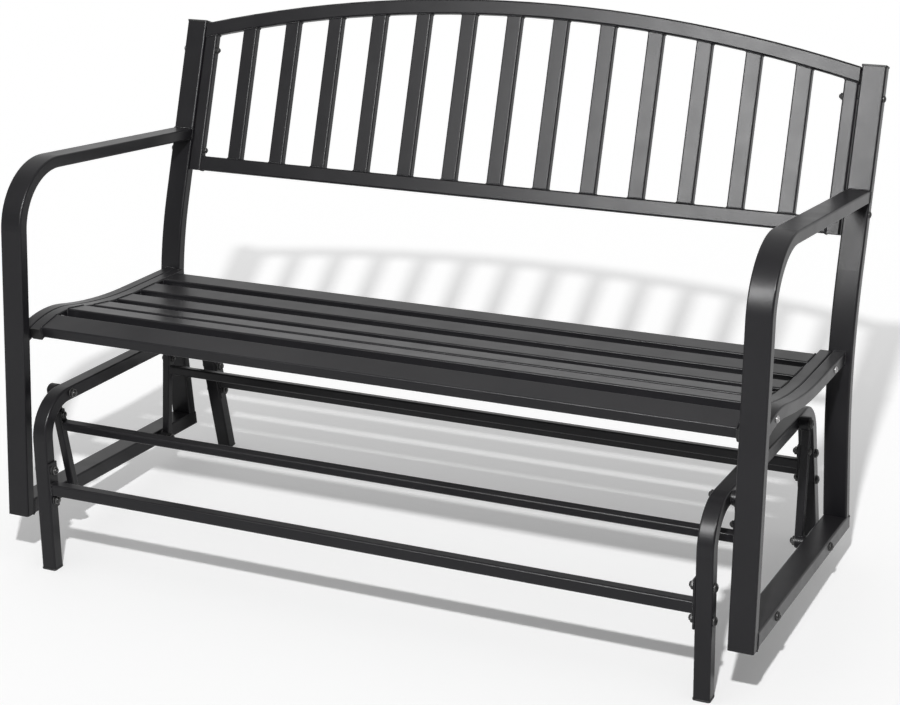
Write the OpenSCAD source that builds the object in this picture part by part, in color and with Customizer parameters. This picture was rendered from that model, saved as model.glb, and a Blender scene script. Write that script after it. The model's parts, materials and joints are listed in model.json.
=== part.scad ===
// Two-seat glider bench: a tubular steel seat that hangs on four swing arms
// from a low standing base. +X is the sitter's left, the front faces -Y.
// Side views are drawn in a plane of [y, z] points, with y = 0 just in front
// of the bench.

/* [Overall] */
// Width across the outer faces of the two side frames
bench_w = 1240; // [1100:10:1500]
// Height of the bottom rail's underside above the floor, at the front
rail_lift = 85; // [75:1:95]
// Place of the side frame's foot, front to back
frame_y = 9.3; // [5:0.1:15]

/* [Side frames] */
// Width of the side frame's tube, across the bench
frame_w = 38; // [34:1:44]
// Thickness of the armrest, leg and post tube
frame_t = 19; // [16:1:22]
// Height of the bottom rail's tube
rail_t = 25; // [22:1:28]
// Wall of the side frame's tubes
frame_wall = 1.5; // [1:0.1:2]
// Outside corner radius of the side frame's tubes
frame_corner = 3; // [2.5:0.1:4]
// Length of the front leg, from its foot to the corner with the armrest
leg_len = 563; // [540:1:600]
// Backward lean of the front leg
leg_lean = 6.2; // [5:0.1:8]
// Fall of the armrest towards the back
arm_fall = 7.1; // [5:0.1:8]
// Centreline radius of the bend from leg to armrest
arm_bend_r = 98; // [80:1:120]
// Fall of the bottom rail towards the back
rail_fall = 3.5; // [2.5:0.1:4.5]
// Place of the rear post's bend, front to back
post_y = 488.6; // [480:1:500]
// Height of the rear post's bend
post_z = 343.6; // [335:1:352]
// Backward lean of the rear post above its bend
back_lean = 20.8; // [18:0.1:22]
// Forward lean of the rear post below its bend
post_kick = 4.5; // [3:0.1:6]
// Length of the rear post above its bend
post_upper = 451; // [440:1:480]
// Centreline radius of the rear post's bend
post_bend_r = 620; // [500:10:640]
// Thickness of the plastic caps and plugs where they show
cap_t = 3; // [2:0.1:4]
// How far a cap stands out beyond its tube
cap_lip = 0.8; // [0.4:0.1:1.2]
// How far a cap's plug reaches into its tube
plug_l = 12; // [8:1:16]

/* [Seat] */
// Side of the square tube of the seat rails
seat_tube = 20; // [18:1:22]
// Wall of the seat's tubes
seat_wall = 1.2; // [1:0.1:1.5]
// Outside corner radius of the seat's tubes
seat_corner = 2.5; // [2:0.1:3.5]
// Place of the seat's front end, front to back
seat_y = 75; // [73:1:80]
// Height of the seat's centreline at its front end
seat_z = 376.5; // [370:0.5:385]
// Rise of the seat at its front end
seat_rise = 17.5; // [15:0.5:20]
// Fall of the seat behind its crest
seat_fall = 14.6; // [12:0.2:16]
// Fall of the seat towards the back
seat_slope = 2.5; // [1:0.5:4]
// Centreline radius of the seat's crest
crest_r = 190; // [170:5:210]
// Centreline radius of the seat's dish
dish_r = 840; // [750:10:900]
// Length of the seat panel along its centreline
seat_len = 419; // [412:1:420]
// Number of seat slats
seat_slats = 6; // [5:1:6]
// Width of a seat slat
slat_w = 45; // [40:1:46]
// Thickness of a seat slat
slat_t = 18; // [15:0.5:20]
// Gap between seat slats
slat_gap = 26; // [20:0.2:27]
// Slit between the seat panel and the side frame's seat rail
panel_slit = 0.4; // [0.3:0.1:0.8]

/* [Back panel] */
// Height of the back panel's top and bottom rails
back_w = 25; // [22:1:28]
// Width of the back panel's stiles
stile_w = 22.5; // [20:0.5:25]
// Thickness of the back panel's tubes
back_t = 15; // [13:0.5:18]
// Gap between the back panel and each rear post
back_gap = 2; // [1:0.5:3]
// Distance of the back panel's lower edge above the post's bend
back_up = 191; // [180:1:200]
// Height of the arch's underside at its middle, above the panel's lower edge
arch_rise = 303.5; // [295:0.5:320]
// Radius of the arch's underside
arch_r = 2429; // [2300:1:2700]
// Number of back slats
back_slats = 13; // [11:1:13]
// Width of a back slat
back_slat_w = 26.5; // [22:0.5:34]
// Thickness of a back slat
back_slat_t = 14; // [8:0.5:15]
// Gap between an outermost back slat and its stile
back_end_gap = 51.6; // [40:0.2:60]

/* [Base] */
// Width of the base's tube, across the bench
base_w = 25; // [22:1:28]
// Thickness of the base's tube
base_t = 22; // [20:1:25]
// Wall of the base's tubes
base_wall = 1.5; // [1:0.1:2]
// Outside corner radius of the base's tubes
base_corner = 3; // [2.5:0.1:4]
// Height of the base frame's top rail at its front corner
base_h = 290; // [284:1:296]
// Distance between the front and rear feet of a base frame
base_d = 545; // [540:1:560]
// Place of the base's front foot, front to back
base_y = 16.5; // [14:0.5:20]
// Backward lean of the base's front leg
front_lean = 1.5; // [0:0.5:4]
// Splay of the base's rear leg
rear_splay = 11; // [8:0.5:14]
// Fall of the base's top rail towards the back
base_fall = 2.8; // [0:0.1:4]
// Centreline radius of the base's bends
base_bend_r = 59; // [45:0.5:65]
// Side of the stretchers' square tube
stretcher_tube = 19; // [17:1:20]
// Height of the middle of a stretcher's end plates above the floor
stretcher_z = 145; // [135:1:155]
// Distance of a stretcher's tube below the middle of its end plates
stretcher_drop = 6; // [0:0.5:8]
// Spacing of the two bolts in each stretcher end
stretcher_pitch = 50; // [46:1:54]
// Thickness of the stretchers' and link bars' end plates
plate_t = 3; // [2:0.5:4]
// Height of a stretcher's end plate
plate_h = 76; // [72:1:80]
// Width of a stretcher's end plate
plate_w = 20; // [19.5:0.5:22]

/* [Swing arms] */
// Clear space between a base frame and the side frame beside it
swing_gap = 22; // [20:0.5:26]
// Side of the swing arm's square tube
arm_tube = 12.7; // [11:0.1:14]
// Outside diameter of the sleeve at each end of a swing arm
sleeve_d = 22; // [20:0.5:24]
// Length of the sleeve at each end of a swing arm
sleeve_l = 13; // [10:0.5:13.2]
// Place of the front upper pivot along the base's top rail
front_top_y = 91.5; // [86:0.5:100]
// Place of the rear upper pivot along the base's top rail
rear_top_y = 430; // [422:0.5:436]
// Place of the front lower pivot along the bottom rail
front_low_y = 122; // [116:0.5:130]
// Place of the rear lower pivot along the bottom rail
rear_low_y = 405; // [398:0.5:412]
// Side of the link bars' square tube
link_tube = 15; // [13:0.5:18]
// Distance of the link bars' centreline below the upper pivots
link_drop = 64; // [58:1:70]
// Distance of the link bars' bolts above the bars' centreline
link_bolt_up = 20; // [16:1:24]

/* [Fasteners] */
// Diameter of the pivot bolts
pivot_d = 8; // [7:0.5:9]
// Diameter of the stretchers' bolts
stretcher_bolt_d = 8; // [6:0.5:9]
// Diameter of the other bolts
bolt_d = 6; // [5:0.5:6.5]
// Clearance round a bolt in a plain hole, on the radius
hole_play = 0.25; // [0.1:0.05:0.4]
// Running clearance round a pivot bolt in its bushes, on the radius
run_play = 0.05; // [0.02:0.01:0.09]
// Clearance at the open side of each flanged bush
side_play = 0.3; // [0.2:0.05:0.5]
// Wall of a bush, and thickness of its flange
bush_wall = 1.5; // [1.2:0.1:1.8]
// Extra radial room in the rear lower pivot, where the linkage is open
open_play = 1.2; // [0.8:0.1:1.6]

/* [Hidden] */
$fn = 48;

// Far enough to cut anything
far = 3000;
// Smallest slit left where a cut face meets a curved one
kiss = 0.05;
// A bend draws its tube in by this much, and the straight runs lap over it
bend_neck = 0.02;
bend_lap = 0.5;
// Reach of the plugs in the seat's curved end rails
seat_plug_l = 3;
// How far the seat rails lie inboard of the side frames' middle
rail_inset = 1;
// Head and nut sizes, as shares of the bolt's diameter
head_ratio = 1.8;
head_h_ratio = 0.55;
nut_ratio = 1.9;
nut_h_ratio = 0.75;

// Rows across the bench
frame_x = bench_w / 2 - frame_w / 2;
frame_in_x = bench_w / 2 - frame_w;
base_out_x = frame_in_x - swing_gap;
base_x = base_out_x - base_w / 2;
base_in_x = base_out_x - base_w;
swing_x = (frame_in_x + base_out_x) / 2;
sleeve_room = sleeve_l / 2 + bush_wall + side_play;
top_sleeve_x = base_out_x + sleeve_room;
low_sleeve_x = frame_in_x - sleeve_room;
rail_out_x = bench_w / 2 - (frame_w - seat_tube) / 2 - rail_inset;
end_rail_x = rail_out_x - seat_tube - panel_slit - seat_tube / 2;
back_half = frame_in_x - back_gap;
back_pitch = (2 * (back_half - stile_w - back_end_gap) - back_slat_w) / (back_slats - 1);

// Direction of a heading in the side view, counted from straight back
function aim(a) = [cos(a), sin(a)];
// Where two lines cross, each given by a point and a heading
function meet(p, a, q, b) =
  let (d = aim(a), e = aim(b), w = q - p)
  p + d * (w[0] * e[1] - w[1] * e[0]) / (d[0] * e[1] - d[1] * e[0]);

// Headings of the tubes in the side view
leg_a = 90 - leg_lean;
arm_a = -arm_fall;
rail_a = -rail_fall;
post_a = 90 - back_lean;
kick_a = 90 + post_kick;
front_a = 90 - front_lean;
rear_a = rear_splay - 90;
base_a = -base_fall;

// Side frame: front foot, corners and ends of the centrelines
foot = [frame_y, rail_lift] + aim(leg_a - 90) * frame_t / 2;
elbow = foot + aim(leg_a) * leg_len;
post_bend = [post_y, post_z];
post_top = post_bend + aim(post_a) * post_upper;
arm_end = meet(elbow, arm_a, post_bend, post_a);
rail_start = [frame_y, rail_lift] + aim(rail_a + 90) * rail_t / 2;
rail_end = meet(rail_start, rail_a, post_bend, kick_a);

// Seat: the two bends of its centreline and the lengths along it
crest_turn = seat_rise + seat_fall;
dish_turn = seat_fall - seat_slope;
crest_t = crest_r * tan(crest_turn / 2);
dish_t = dish_r * tan(dish_turn / 2);
crest_len = crest_r * crest_turn * PI / 180;
dish_len = dish_r * dish_turn * PI / 180;
seat_front = [seat_y, seat_z];
crest = seat_front + aim(seat_rise) * crest_t;
dish = crest + aim(-seat_fall) * (crest_t + dish_t);
seat_back = dish + aim(-seat_slope) * (dish_t + seat_len - crest_len - dish_len);
leg_back = foot + aim(leg_a - 90) * frame_t / 2;
// The seat rail ends on the tangent of the post's bend at its own height
post_centre = meet(post_bend + aim(post_a) * post_bend_r * tan((back_lean + post_kick) / 2),
  post_a - 90, post_bend - aim(kick_a) * post_bend_r * tan((back_lean + post_kick) / 2), kick_a - 90);

// Base: feet and corners of a frame's centreline
base_front = [base_y, 0];
base_rear = [base_y + base_d, 0];
base_top_z = base_h - base_t / 2;
base_c1 = base_front + aim(front_a) * base_top_z / sin(front_a);
base_c2 = meet(base_c1, base_a, base_rear, rear_a);
front_bolt_c = base_front + aim(front_a) * stretcher_z / sin(front_a);
rear_bolt_c = meet(base_rear, rear_a, [0, stretcher_z], 0);

// Pivots, each on the centreline of the rail that carries it
front_top = base_c1 + aim(base_a) * (front_top_y - base_c1[0]) / cos(base_a);
rear_top = base_c1 + aim(base_a) * (rear_top_y - base_c1[0]) / cos(base_a);
front_low = rail_start + aim(rail_a) * (front_low_y - rail_start[0]) / cos(rail_a);
rear_low = rail_start + aim(rail_a) * (rear_low_y - rail_start[0]) / cos(rail_a);

// The bench's centre, front to back: from the front foot to the back of the arch
front_y = base_y - base_t / 2 / sin(front_a) - cap_lip;
back_line = back_t / 2 - frame_t / 2;
back_start = post_bend + aim(post_a) * back_up + aim(post_a - 90) * back_line;
arch_top = back_start + aim(post_a) * (arch_rise + back_w) + aim(post_a - 90) * back_t / 2;
mid_y = (front_y + arch_top[0]) / 2;

// Place and heading on the seat's centreline, at a length from its front end
function seat_at(s) =
  s < crest_len ?
    let (a = seat_rise - s / crest_r * 180 / PI,
         c = seat_front + aim(seat_rise - 90) * crest_r)
    [c + aim(a + 90) * crest_r, a]
  : s < crest_len + dish_len ?
    let (a = -seat_fall + (s - crest_len) / dish_r * 180 / PI,
         c = crest + aim(-seat_fall) * crest_t + aim(90 - seat_fall) * dish_r)
    [c - aim(a + 90) * dish_r, a]
  : [dish + aim(-seat_slope) * (dish_t + s - crest_len - dish_len), -seat_slope];

// Puts the children at a side-view point, their +Z along a heading
module at(p, a) {
  translate([0, p[0], p[1]]) rotate([a - 90, 0, 0]) children();
}

// Puts the children at both ends of the bench
module both_sides() {
  children();
  mirror([1, 0, 0]) children();
}

// Moves the side view's origin to the middle of the bench
module bench() {
  translate([0, -mid_y, 0]) children();
}

// Rectangle with rounded corners, centred
module rounded(w, t, r) {
  square([w - 2 * r, t], center = true);
  square([w, t - 2 * r], center = true);
  for (x = [-1, 1], y = [-1, 1]) translate([x * (w / 2 - r), y * (t / 2 - r)]) circle(r);
}

// Wall of a rectangular tube; a wall of 0 gives a solid bar
module section(w, t, r, wall) {
  difference() {
    rounded(w, t, r);
    if (wall > 0) rounded(w - 2 * wall, t - 2 * wall, r - wall);
  }
}

// One bend of a tube that starts at the origin along +Z and turns towards +Y
module bend(r, turn) {
  translate([0, r, 0]) rotate([90, 0, -90]) rotate_extrude(angle = turn)
    translate([r, 0]) rotate(90) children();
}

// Bar along side-view points, with a bend radius at each inner point
function turn_at(pts, i) =
  let (a = pts[i] - pts[i - 1], b = pts[i + 1] - pts[i])
  atan2(a[0] * b[1] - a[1] * b[0], a * b);
function heading(pts, i) = atan2(pts[i + 1][1] - pts[i][1], pts[i + 1][0] - pts[i][0]);
function trim(pts, r, i) =
  i == 0 || i == len(pts) - 1 ? 0 : r[i - 1] * tan(abs(turn_at(pts, i)) / 2);
module bent(pts, r, w, t, c, lead) {
  for (i = [0:len(pts) - 2]) {
    before = i == 0 ? lead : bend_lap - trim(pts, r, i);
    after = i == len(pts) - 2 ? lead : bend_lap - trim(pts, r, i + 1);
    run = norm(pts[i + 1] - pts[i]) + before + after;
    at(pts[i] - aim(heading(pts, i)) * before, heading(pts, i)) linear_extrude(run) rounded(w, t, c);
  }
  for (i = [1:1:len(pts) - 2]) {
    turn = turn_at(pts, i);
    start = pts[i] - aim(heading(pts, i - 1)) * trim(pts, r, i);
    at(start, heading(pts, i - 1)) mirror([0, turn > 0 ? 1 : 0, 0]) bend(r[i - 1], abs(turn))
      rounded(w - 2 * bend_neck, t - 2 * bend_neck, c - bend_neck);
  }
}

// Bent rectangular tube; a wall of 0 gives a solid bar
module bent_tube(pts, r, w, t, c, wall) {
  difference() {
    bent(pts, r, w, t, c, 0);
    if (wall > 0) bent(pts, r, w - 2 * wall, t - 2 * wall, c - wall, wall);
  }
}

// Everything on the far side of a line through p with heading a, at its right hand
module beyond(p, a) {
  at(p, a) translate([-far / 2, 0, -far / 2]) cube([far, far, far]);
}

// Hole or rod across the bench, from one x to another, at a side-view point
module across(p, x0, x1, d) {
  translate([x0, p[0], p[1]]) rotate([0, 90, 0]) cylinder(h = x1 - x0, d = d);
}

// Bolt across the bench: head outside at x1, shank inwards to x0
module bolt(p, x0, x1, d) {
  across(p, x0, x1, d);
  across(p, x1, x1 + d * head_h_ratio, d * head_ratio);
}

// Hexagonal nut on a bolt, its outer face at x
module nut(p, x, d) {
  difference() {
    translate([x - d * nut_h_ratio, p[0], p[1]]) rotate([0, 90, 0])
      cylinder(h = d * nut_h_ratio, d = d * nut_ratio, $fn = 6);
    across(p, x - d, x + d, d + 2 * run_play);
  }
}

frame_color = "#202123";
plastic_color = "#101113";
steel_color = "#3a3b3e";

// Base

base_points = [base_front, base_c1, base_c2, base_rear];
module base_line(shrink, wall) {
  translate([base_x, 0, 0]) bent_tube(base_points, [base_bend_r, base_bend_r],
    base_w - shrink, base_t - shrink, base_corner - shrink / 2, wall);
}

module slab(z0, z1) {
  translate([-far / 2, -far / 2, z0]) cube([far, far, z1 - z0]);
}

// The two bolt centres of a stretcher end, along the leg that carries it
function bolt_pair(c, a) = [for (k = [-0.5, 0.5]) c + aim(a) * k * stretcher_pitch];
stretcher_holes = concat(bolt_pair(front_bolt_c, front_a), bolt_pair(rear_bolt_c, rear_a));

module base_frame() {
  color(frame_color) difference() {
    base_line(0, base_wall);
    slab(-far, cap_t);
    for (p = stretcher_holes) across(p, 0, far, stretcher_bolt_d + 2 * hole_play);
    for (p = [front_top, rear_top]) across(p, 0, far, pivot_d + 2 * hole_play);
  }
}

module foot_cap() {
  intersection() {
    base_line(-2 * cap_lip, 0);
    slab(0, cap_t);
  }
  intersection() {
    base_line(2 * base_wall + 2 * kiss, 0);
    slab(cap_t / 2, cap_t + plug_l);
  }
}

module foot_caps() {
  color(plastic_color) both_sides() foot_cap();
}

// Cross tube with a taller plate welded on each end, their middles at c, up along a
module stretcher(c, a) {
  plate_x = base_in_x - plate_t;
  color(frame_color) {
    at(c - aim(a) * stretcher_drop, a) rotate([0, -90, 0]) translate([0, 0, -plate_x])
      linear_extrude(2 * plate_x) section(stretcher_tube, stretcher_tube, base_corner, base_wall);
    both_sides() difference() {
      at(c, a) translate([plate_x, -plate_w / 2, -plate_h / 2]) cube([plate_t, plate_w, plate_h]);
      for (p = bolt_pair(c, a)) across(p, 0, far, stretcher_bolt_d + 2 * hole_play);
    }
  }
}

module stretcher_bolts() {
  color(steel_color) both_sides() for (p = stretcher_holes)
    bolt(p, base_in_x - plate_t - stretcher_bolt_d, base_out_x, stretcher_bolt_d);
}

module stretcher_nuts() {
  color(steel_color) both_sides() for (p = stretcher_holes)
    nut(p, base_in_x - plate_t, stretcher_bolt_d);
}

module upper_pivot_bolts() {
  color(steel_color) both_sides() for (p = [front_top, rear_top])
    bolt(p, base_in_x - pivot_d, top_sleeve_x + sleeve_room, pivot_d);
}

module upper_pivot_nuts() {
  color(steel_color) both_sides() for (p = [front_top, rear_top]) nut(p, base_in_x, pivot_d);
}

// Swing arms

// Square tube between two sleeves; the link bar's bolt passes through it.
// The top sleeve sits close to the base, the low one close to the side frame.
module swing_arm(top, low) {
  a = atan2(top[1] - low[1], top[0] - low[0]);
  bore = pivot_d + 2 * run_play + 2 * bush_wall;
  color(frame_color) difference() {
    union() {
      translate([swing_x, 0, 0]) difference() {
        at(low, a) linear_extrude(norm(top - low))
          section(arm_tube, arm_tube, base_corner / 2, base_wall);
        for (p = [top, low]) across(p, -far, far, sleeve_d - 1);
      }
      across(top, top_sleeve_x - sleeve_l / 2, top_sleeve_x + sleeve_l / 2, sleeve_d);
      across(low, low_sleeve_x - sleeve_l / 2, low_sleeve_x + sleeve_l / 2, sleeve_d);
    }
    across(top, 0, far, bore);
    across(low, 0, far, bore + (low == rear_low ? 2 * open_play : 0));
    across(link_bolt_at(top, low), 0, far, bolt_d + 2 * hole_play);
  }
}

// Point on an arm's line at a distance below its top pivot
function on_arm(top, low, d) = top + (low - top) * d / norm(top - low);
function link_bolt_at(top, low) = on_arm(top, low, link_drop - link_bolt_up);

// Square bar from arm to arm, with a bolt plate on each end
module link_bar(top, low) {
  a = atan2(top[1] - low[1], top[0] - low[0]);
  c = on_arm(top, low, link_drop);
  end_x = swing_x - arm_tube / 2 - plate_t;
  plate_up = link_bolt_up + bolt_d * 1.3;
  color(frame_color) {
    at(c, a) rotate([0, -90, 0]) translate([0, 0, -end_x]) linear_extrude(2 * end_x)
      section(link_tube, link_tube, base_corner, base_wall);
    both_sides() difference() {
      at(c, a) translate([end_x, -arm_tube / 2, -link_tube / 2])
        cube([plate_t, arm_tube, link_tube / 2 + plate_up]);
      across(link_bolt_at(top, low), 0, far, bolt_d + 2 * hole_play);
    }
  }
}

// Bolt with its nut on the inner side of the link bar's plate
module link_bolts(top, low) {
  p = link_bolt_at(top, low);
  color(steel_color) both_sides() {
    bolt(p, swing_x - arm_tube / 2 - plate_t - bolt_d * 0.9, swing_x + arm_tube / 2, bolt_d);
    nut(p, swing_x - arm_tube / 2 - plate_t, bolt_d);
  }
}

// Flanged plastic bush, pushed into one end of a sleeve whose middle is at x
module bush(p, x, side, extra) {
  bore = pivot_d + 2 * run_play + 2 * extra;
  x0 = x + side * sleeve_l / 2;
  difference() {
    union() {
      across(p, min(x0, x0 + side * bush_wall), max(x0, x0 + side * bush_wall), sleeve_d - 2);
      across(p, min(x0, x0 - side * sleeve_l / 3), max(x0, x0 - side * sleeve_l / 3),
        bore + 2 * bush_wall - 2 * kiss);
    }
    across(p, 0, far, bore);
  }
}

module bushes(top, low) {
  color(plastic_color) both_sides() for (side = [-1, 1]) {
    bush(top, top_sleeve_x, side, 0);
    bush(low, low_sleeve_x, side, low == rear_low ? open_play : 0);
  }
}

// Side frames

// Leg and armrest in one bent tube, cut off at the bottom rail's underside and the post
module armrest() {
  color(frame_color) difference() {
    translate([frame_x, 0, 0]) bent_tube([foot - aim(leg_a) * frame_t, elbow, arm_end],
      [arm_bend_r], frame_w, frame_t, frame_corner, frame_wall);
    beyond([frame_y, rail_lift], rail_a);
    beyond(post_bend - aim(post_a - 90) * frame_t / 2, post_a);
  }
}

module rail_run(wall, shrink) {
  translate([frame_x, 0, 0]) bent_tube([rail_start, rail_end + aim(rail_a) * frame_t * 2], [],
    frame_w - shrink, rail_t - shrink, frame_corner - shrink / 2, wall);
}

// Bottom rail between the leg's back face and the line of the post's back face
module bottom_rail() {
  color(frame_color) difference() {
    rail_run(frame_wall, 0);
    beyond(leg_back, leg_a + 180);
    beyond(post_bend + aim(kick_a - 90) * (frame_t / 2 - cap_t), kick_a);
    for (p = [front_low, rear_low]) across(p, 0, far, pivot_d + 2 * hole_play);
  }
}

module post_run(wall, shrink, extra) {
  translate([frame_x, 0, 0])
    bent_tube([rail_end - aim(kick_a) * rail_t, post_bend, post_top + aim(post_a) * extra],
    [post_bend_r], frame_w - shrink, frame_t - shrink, frame_corner - shrink / 2, wall);
}

// Where the back panel's bolts cross the posts, above the panel's lower edge
back_bolt_v = [35, 212];
back_bolt_at = [for (v = back_bolt_v) back_start + aim(post_a) * v];

// Rear post, standing on the bottom rail
module rear_post() {
  color(frame_color) difference() {
    post_run(frame_wall, 0, 0);
    beyond(rail_start + aim(rail_a + 90) * rail_t / 2, rail_a);
    for (p = back_bolt_at) across(p, 0, far, bolt_d + 2 * hole_play);
  }
}

module post_caps() {
  color(plastic_color) both_sides() translate([frame_x, 0, 0]) at(post_top, post_a) {
    linear_extrude(cap_t) rounded(frame_w + 2 * cap_lip, frame_t + 2 * cap_lip, frame_corner);
    translate([0, 0, -plug_l]) linear_extrude(plug_l + cap_t / 2)
      rounded(frame_w - 2 * frame_wall - 2 * kiss, frame_t - 2 * frame_wall - 2 * kiss,
        frame_corner - frame_wall - kiss);
  }
}

module seat_run(lead, tail, wall) {
  bent_tube([seat_front - aim(seat_rise) * lead, crest, dish, seat_back + aim(-seat_slope) * tail],
    [crest_r, dish_r], seat_tube, seat_tube, seat_corner, wall);
}

// Plug that closes the front or back end of a seat end rail
module seat_plug(p, a) {
  at(p, a) {
    linear_extrude(cap_t) rounded(seat_tube, seat_tube, seat_corner);
    translate([0, 0, -seat_plug_l]) linear_extrude(seat_plug_l + cap_t / 2)
      rounded(seat_tube - 2 * seat_wall - 4 * kiss, seat_tube - 2 * seat_wall - 4 * kiss,
        seat_corner - seat_wall - kiss);
  }
}

// Plugs in the back ends of the bottom rails and in both ends of the seat end rails
module frame_plugs() {
  color(plastic_color) both_sides() {
    difference() {
      rail_run(0, 0);
      beyond(post_bend + aim(kick_a - 90) * (frame_t / 2 - cap_t), kick_a + 180);
      beyond(post_bend + aim(kick_a - 90) * frame_t / 2, kick_a);
    }
    translate([end_rail_x, 0, 0]) {
      seat_plug(seat_front, seat_rise + 180);
      seat_plug(seat_back, -seat_slope);
    }
  }
}

// Where the seat panel is bolted to the side frames, along the seat's centreline
seat_bolt_in = 54;
seat_bolt_s = [seat_bolt_in, seat_len - seat_bolt_in];
seat_bolt_at = [for (s = seat_bolt_s) seat_at(s)[0]];

// Curved seat rail between the leg and the post
module seat_rail() {
  a = atan2(seat_back[1] - post_centre[1], seat_back[0] - post_centre[0]);
  touch = post_centre + aim(a) * (post_bend_r + frame_t / 2 + kiss);
  color(frame_color) difference() {
    translate([rail_out_x - seat_tube / 2, 0, 0]) seat_run(seat_tube * 2, seat_tube * 2, seat_wall);
    beyond(leg_back, leg_a + 180);
    beyond(touch, a - 90);
    for (p = seat_bolt_at) across(p, 0, far, bolt_d + 2 * hole_play);
  }
}

module lower_pivot_bolts() {
  color(steel_color) both_sides() for (p = [front_low, rear_low])
    bolt(p, low_sleeve_x - sleeve_room - pivot_d, bench_w / 2, pivot_d);
}

module lower_pivot_nuts() {
  color(steel_color) both_sides() for (p = [front_low, rear_low])
    nut(p, low_sleeve_x - sleeve_room, pivot_d);
}

// Seat panel

module seat_end_rail() {
  color(frame_color) difference() {
    translate([end_rail_x, 0, 0]) seat_run(0, 0, seat_wall);
    for (p = seat_bolt_at) across(p, 0, far, bolt_d + 2 * hole_play);
  }
}

// Straight slat between the end rails, laid flat on the seat's curve
module seat_slat(i) {
  pose = seat_at(slat_w / 2 + (i - 1) * (slat_w + slat_gap));
  half = end_rail_x - seat_tube / 2;
  middle = pose[0] + aim(pose[1] + 90) * (seat_tube - slat_t) / 2;
  color(frame_color) at(middle, pose[1]) rotate([0, 90, 0]) translate([0, 0, -half])
    linear_extrude(2 * half) section(slat_w, slat_t, seat_corner, seat_wall);
}

module seat_bolts() {
  inner_x = end_rail_x - seat_tube / 2;
  color(steel_color) both_sides() for (p = seat_bolt_at) {
    bolt(p, inner_x - bolt_d * 0.9, rail_out_x, bolt_d);
    nut(p, inner_x, bolt_d);
  }
}

// Back panel, drawn in its own plane: x across, z up from its lower edge

module back_plane() {
  at(back_start, post_a) children();
}

// The round underside of the arch, or a rounder one inside it
module under_arch(r) {
  translate([0, 0, arch_rise - arch_r]) rotate([90, 0, 0])
    cylinder(h = far, r = r, center = true, $fn = 360);
}

module arch_bar(wall) {
  turn = 2 * asin((back_half + back_w) / arch_r);
  translate([0, 0, arch_rise - arch_r]) rotate([90, 0, 0]) rotate([0, 0, 90 - turn / 2])
    rotate_extrude(angle = turn, $fn = 360) translate([arch_r + back_w / 2, 0])
      rounded(back_w - 2 * wall, back_t - 2 * wall, frame_corner - wall);
}

module back_strip(half) {
  translate([-half, -far / 2, -far / 2]) cube([2 * half, far, far]);
}

// Arched top rail; its open ends face the posts, close beside them
module back_top_rail() {
  color(frame_color) back_plane() difference() {
    intersection() {
      arch_bar(0);
      back_strip(back_half);
    }
    arch_bar(frame_wall);
  }
}

module back_bottom_rail() {
  half = back_half - stile_w;
  color(frame_color) back_plane() translate([-half, 0, back_w / 2]) rotate([0, 90, 0])
    linear_extrude(2 * half) section(back_w, back_t, frame_corner, frame_wall);
}

module back_stile() {
  color(frame_color) difference() {
    back_plane() intersection() {
      translate([back_half - stile_w / 2, 0, 0]) linear_extrude(arch_rise)
        section(stile_w, back_t, frame_corner, frame_wall);
      under_arch(arch_r - kiss);
    }
    for (p = back_bolt_at) across(p, 0, far, bolt_d + 2 * hole_play);
  }
}

module back_slat(i) {
  x = (i - (back_slats + 1) / 2) * back_pitch;
  color(frame_color) back_plane() intersection() {
    translate([x, 0, back_w]) linear_extrude(arch_rise)
      section(back_slat_w, back_slat_t, seat_corner, seat_wall);
    under_arch(arch_r - kiss);
  }
}

module back_bolts() {
  color(steel_color) both_sides() for (p = back_bolt_at)
    bolt(p, back_half - stile_w - bolt_d * 0.9, bench_w / 2, bolt_d);
}

module back_nuts() {
  color(steel_color) both_sides() for (p = back_bolt_at) nut(p, back_half - stile_w, bolt_d);
}

// The right-hand piece is drawn at +X, its partner is its mirror image
module left_of() {
  bench() mirror([1, 0, 0]) children();
}

left_of() base_frame();  // base_frame_left
bench() base_frame();  // base_frame_right
bench() stretcher(front_bolt_c, front_a);  // front_stretcher
bench() stretcher(rear_bolt_c, rear_a + 180);  // rear_stretcher
bench() foot_caps();
bench() stretcher_bolts();
bench() stretcher_nuts();
bench() upper_pivot_bolts();
bench() upper_pivot_nuts();
left_of() swing_arm(front_top, front_low);  // front_swing_arm_left
bench() swing_arm(front_top, front_low);  // front_swing_arm_right
bench() link_bar(front_top, front_low);  // front_link_bar
bench() link_bolts(front_top, front_low);  // front_link_bolts
bench() bushes(front_top, front_low);  // front_bushes
left_of() swing_arm(rear_top, rear_low);  // rear_swing_arm_left
bench() swing_arm(rear_top, rear_low);  // rear_swing_arm_right
bench() link_bar(rear_top, rear_low);  // rear_link_bar
bench() link_bolts(rear_top, rear_low);  // rear_link_bolts
bench() bushes(rear_top, rear_low);  // rear_bushes
left_of() armrest();  // armrest_left
bench() armrest();  // armrest_right
left_of() bottom_rail();  // bottom_rail_left
bench() bottom_rail();  // bottom_rail_right
left_of() rear_post();  // rear_post_left
bench() rear_post();  // rear_post_right
left_of() seat_rail();  // seat_rail_left
bench() seat_rail();  // seat_rail_right
bench() post_caps();
bench() frame_plugs();
bench() lower_pivot_bolts();
bench() lower_pivot_nuts();
left_of() seat_end_rail();  // seat_end_rail_left
bench() seat_end_rail();  // seat_end_rail_right
for (i = [1:seat_slats])
  bench() seat_slat(i);
bench() seat_bolts();
bench() back_top_rail();
bench() back_bottom_rail();
left_of() back_stile();  // back_stile_left
bench() back_stile();  // back_stile_right
for (i = [1:back_slats])
  bench() back_slat(i);
bench() back_bolts();
bench() back_nuts();
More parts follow.
